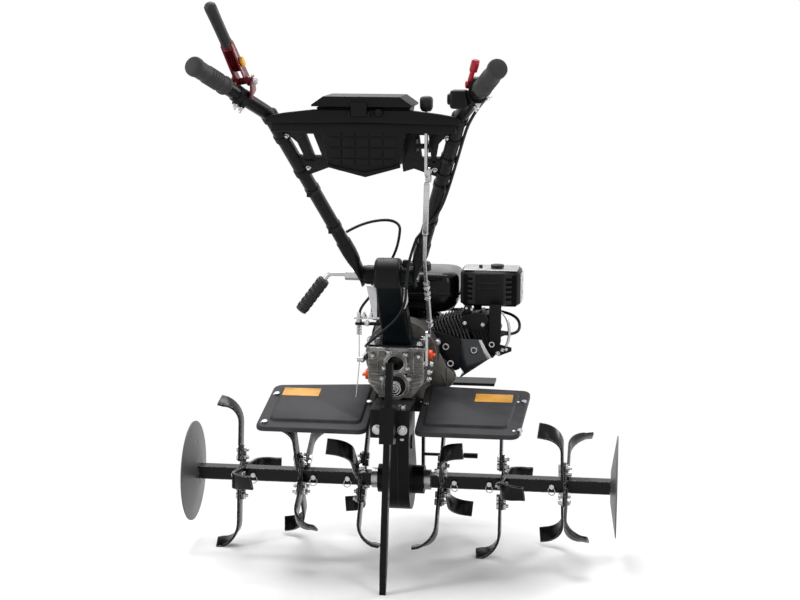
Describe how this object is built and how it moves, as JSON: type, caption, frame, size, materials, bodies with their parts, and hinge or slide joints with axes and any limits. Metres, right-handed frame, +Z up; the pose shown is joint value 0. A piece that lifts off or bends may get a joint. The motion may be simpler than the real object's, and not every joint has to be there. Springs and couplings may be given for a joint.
{
  "type": "garden tiller",
  "caption": "Walk-behind garden tiller with a leaning column, wide handlebar, tool box panel, small engine, gear case, fenders and rows of bent tines between side discs.",
  "frame": {"origin": "centre of the whole machine's box, on the floor", "axes": "+X to the right of someone at the handlebar, +Y forward to the engine, +Z up"},
  "size_m": [1.1486, 1.2814, 1.4655],
  "materials": {
    "black_paint": "satin black powder coat",
    "column_paint": "satin blue-black paint on a casting",
    "fender_paint": "dark grey metallic paint",
    "tine_steel": "dark hardened steel with a thin black coat",
    "disc_steel": "dark grey coat on steel",
    "bright_steel": "zinc plated steel",
    "gear_steel": "oiled gear steel",
    "raw_casting": "raw die casting",
    "dark_casting": "black coated casting",
    "engine_casting": "cast alloy with dull fins",
    "shroud_sheet": "blue-black painted sheet",
    "muffler_steel": "heat-stained sheet steel",
    "black_plastic": "moulded, fine grain",
    "grip_rubber": "ribbed grip rubber",
    "cable_sheath": "smooth cable outer",
    "red_casting": "dark red enamel",
    "red_plastic": "crimson moulded plastic"
  },
  "bodies": {
    "chassis": {"gearbox_case": "raw_casting", "gearbox_bearing": "gear_steel", "clutch_housing": "raw_casting", "drive_case_left": "dark_casting", "drive_case_right": "dark_casting", "fender_left": "fender_paint", "fender_right": "fender_paint", "chassis_bolts": "bright_steel", "hitch_block": "black_paint", "column": "column_paint", "column_cap": "black_plastic", "engine_block": "engine_casting", "cylinder_head": "engine_casting", "cylinder_shroud": "shroud_sheet", "fan_cover": "black_paint", "recoil_cover": "black_plastic", "starter_grip": "black_plastic", "fuel_tank": "black_paint", "muffler": "muffler_steel", "muffler_guard": "black_paint", "air_cleaner": "black_plastic", "carburettor": "raw_casting", "spark_lead": "cable_sheath", "engine_frame": "black_paint", "control_cables": "cable_sheath"},
    "rotor": {"axle_shaft": "gear_steel", "final_gear": "gear_steel", "tine_hubs_left": "tine_steel", "tine_hubs_right": "tine_steel", "blades_bent_left": "tine_steel", "blades_bent_right": "tine_steel", "tine_fasteners": "bright_steel", "side_disc_left": "disc_steel", "side_disc_right": "disc_steel"},
    "idler": {"idler_gear": "gear_steel"},
    "pinion": {"drive_pinion": "gear_steel"},
    "gear_shaft": {"main_shaft": "gear_steel"},
    "engine_crank": {"crankshaft": "gear_steel"},
    "handlebar": {"handlebar_yoke": "black_paint", "handle_tube_left": "black_paint", "handle_tube_right": "black_paint", "grip_left": "grip_rubber", "grip_right": "grip_rubber", "control_panel": "black_plastic", "clutch_bracket": "red_casting", "throttle_body": "black_plastic"},
    "clamp_crank": {"clamp_crank": "bright_steel"},
    "lid": {"tool_box_lid": "black_plastic"},
    "latch": {"lid_latch": "black_plastic"},
    "gear_lever": {"gear_lever": "bright_steel"},
    "shift_clevis": {"shift_clevis": "bright_steel"},
    "shift_rod": {"shift_rod": "bright_steel"},
    "shift_arm": {"shift_arm": "bright_steel"},
    "clutch_lever": {"clutch_lever": "black_plastic"},
    "clutch_arm": {"clutch_arm": "bright_steel"},
    "clutch_wire": {"clutch_wire": "bright_steel"},
    "throttle_lever": {"throttle_lever": "red_plastic"},
    "depth_stake": {"depth_stake": "black_paint"},
    "fuel_cap": {"fuel_cap": "black_plastic"},
    "front_arm": {"front_arm": "black_paint"}
  },
  "joints": [
    {"name": "tine_spin", "type": "hinge", "parent": "chassis", "child": "rotor", "pos_m": [0, 0.29575, 0.199], "axis": [1, 0, 0], "continuous": true},
    {"name": "idler_spin", "type": "hinge", "parent": "chassis", "child": "idler", "pos_m": [0, 0.26378, 0.3105], "axis": [1, 0, 0], "continuous": true},
    {"name": "pinion_spin", "type": "hinge", "parent": "chassis", "child": "pinion", "pos_m": [0, 0.24283, 0.38356], "axis": [1, 0, 0], "continuous": true},
    {"name": "main_shaft_spin", "type": "hinge", "parent": "chassis", "child": "gear_shaft", "pos_m": [0, 0.16975, 0.483], "axis": [0, 1, 0], "continuous": true},
    {"name": "crank_spin", "type": "hinge", "parent": "chassis", "child": "engine_crank", "pos_m": [0, 0.27375, 0.54], "axis": [0, 1, 0], "continuous": true},
    {"name": "handlebar_pitch", "type": "hinge", "parent": "chassis", "child": "handlebar", "pos_m": [0, 0.03375, 0.794], "axis": [1, 0, 0], "range_deg": [-8, 8], "deforming": ["control_cables"]},
    {"name": "clamp_crank_turn", "type": "hinge", "parent": "chassis", "child": "clamp_crank", "pos_m": [0, 0.03375, 0.794], "axis": [1, 0, 0], "range_deg": [-170, 170]},
    {"name": "lid_open", "type": "hinge", "parent": "handlebar", "child": "lid", "pos_m": [0, -0.27225, 1.235], "axis": [-1, 0, 0], "range_deg": [0, 100]},
    {"name": "latch_flip", "type": "hinge", "parent": "handlebar", "child": "latch", "pos_m": [-0.005, -0.40025, 1.219], "axis": [1, 0, 0], "range_deg": [0, 100]},
    {"name": "gear_lever_swing", "type": "hinge", "parent": "handlebar", "child": "gear_lever", "pos_m": [0.137, -0.34271, 1.1465], "axis": [1, 0, 0], "range_deg": [-10, 10]},
    {"name": "shift_clevis_swing", "type": "hinge", "parent": "gear_lever", "child": "shift_clevis", "pos_m": [0.137, -0.34271, 1.09049], "axis": [1, 0, 0], "range_deg": [-11, 11]},
    {"name": "shift_rod_swing", "type": "hinge", "parent": "shift_clevis", "child": "shift_rod", "pos_m": [0.137, -0.32574, 1.07353], "axis": [1, 0, 0], "range_deg": [-4, 4]},
    {"name": "shift_arm_swing", "type": "hinge", "parent": "chassis", "child": "shift_arm", "pos_m": [0.076, 0.18375, 0.539], "axis": [1, 0, 0], "range_deg": [-9, 9]},
    {"name": "clutch_squeeze", "type": "hinge", "parent": "handlebar", "child": "clutch_lever", "pos_m": [-0.24968, -0.45378, 1.29221], "axis": [1, 0, 0], "range_deg": [0, 28], "stiffness_Nm_per_rad": 2, "springref_deg": -34.38},
    {"name": "clutch_arm_swing", "type": "hinge", "parent": "chassis", "child": "clutch_arm", "pos_m": [-0.08, 0.23575, 0.549], "axis": [-1, 0, 0], "range_deg": [0, 6]},
    {"name": "clutch_wire_swing", "type": "hinge", "parent": "clutch_arm", "child": "clutch_wire", "pos_m": [-0.0916, 0.14575, 0.555], "axis": [-1, 0, 0], "range_deg": [-6, 0]},
    {"name": "throttle_turn", "type": "hinge", "parent": "handlebar", "child": "throttle_lever", "pos_m": [0.25472, -0.46698, 1.2893], "axis": [1, 0, 0], "range_deg": [-20, 25]},
    {"name": "stake_slide", "type": "slide", "parent": "chassis", "child": "depth_stake", "axis": [0, 0.2079, 0.9781], "range_m": [0, 0.09]},
    {"name": "fuel_cap_turn", "type": "hinge", "parent": "chassis", "child": "fuel_cap", "pos_m": [0.02, 0.50575, 0.736], "axis": [0, 0, 1], "range_deg": [0, 90]},
    {"name": "front_arm_swing", "type": "hinge", "parent": "chassis", "child": "front_arm", "pos_m": [0.02, 0.61375, 0.387], "axis": [1, 0, 0], "range_deg": [0, 80]}
  ],
  "couplings": [
    {"joint": "idler_spin", "follows": "tine_spin", "ratio": -1.4167},
    {"joint": "pinion_spin", "follows": "tine_spin", "ratio": 2.4286},
    {"joint": "shift_clevis_swing", "follows": "gear_lever_swing", "ratio": -1},
    {"joint": "shift_arm_swing", "follows": "gear_lever_swing", "ratio": -0.7179},
    {"joint": "shift_rod_swing", "follows": "handlebar_pitch", "ratio": -0.336},
    {"joint": "clutch_arm_swing", "follows": "clutch_squeeze", "ratio": 0.2},
    {"joint": "clutch_wire_swing", "follows": "clutch_squeeze", "ratio": -0.2}
  ]
}
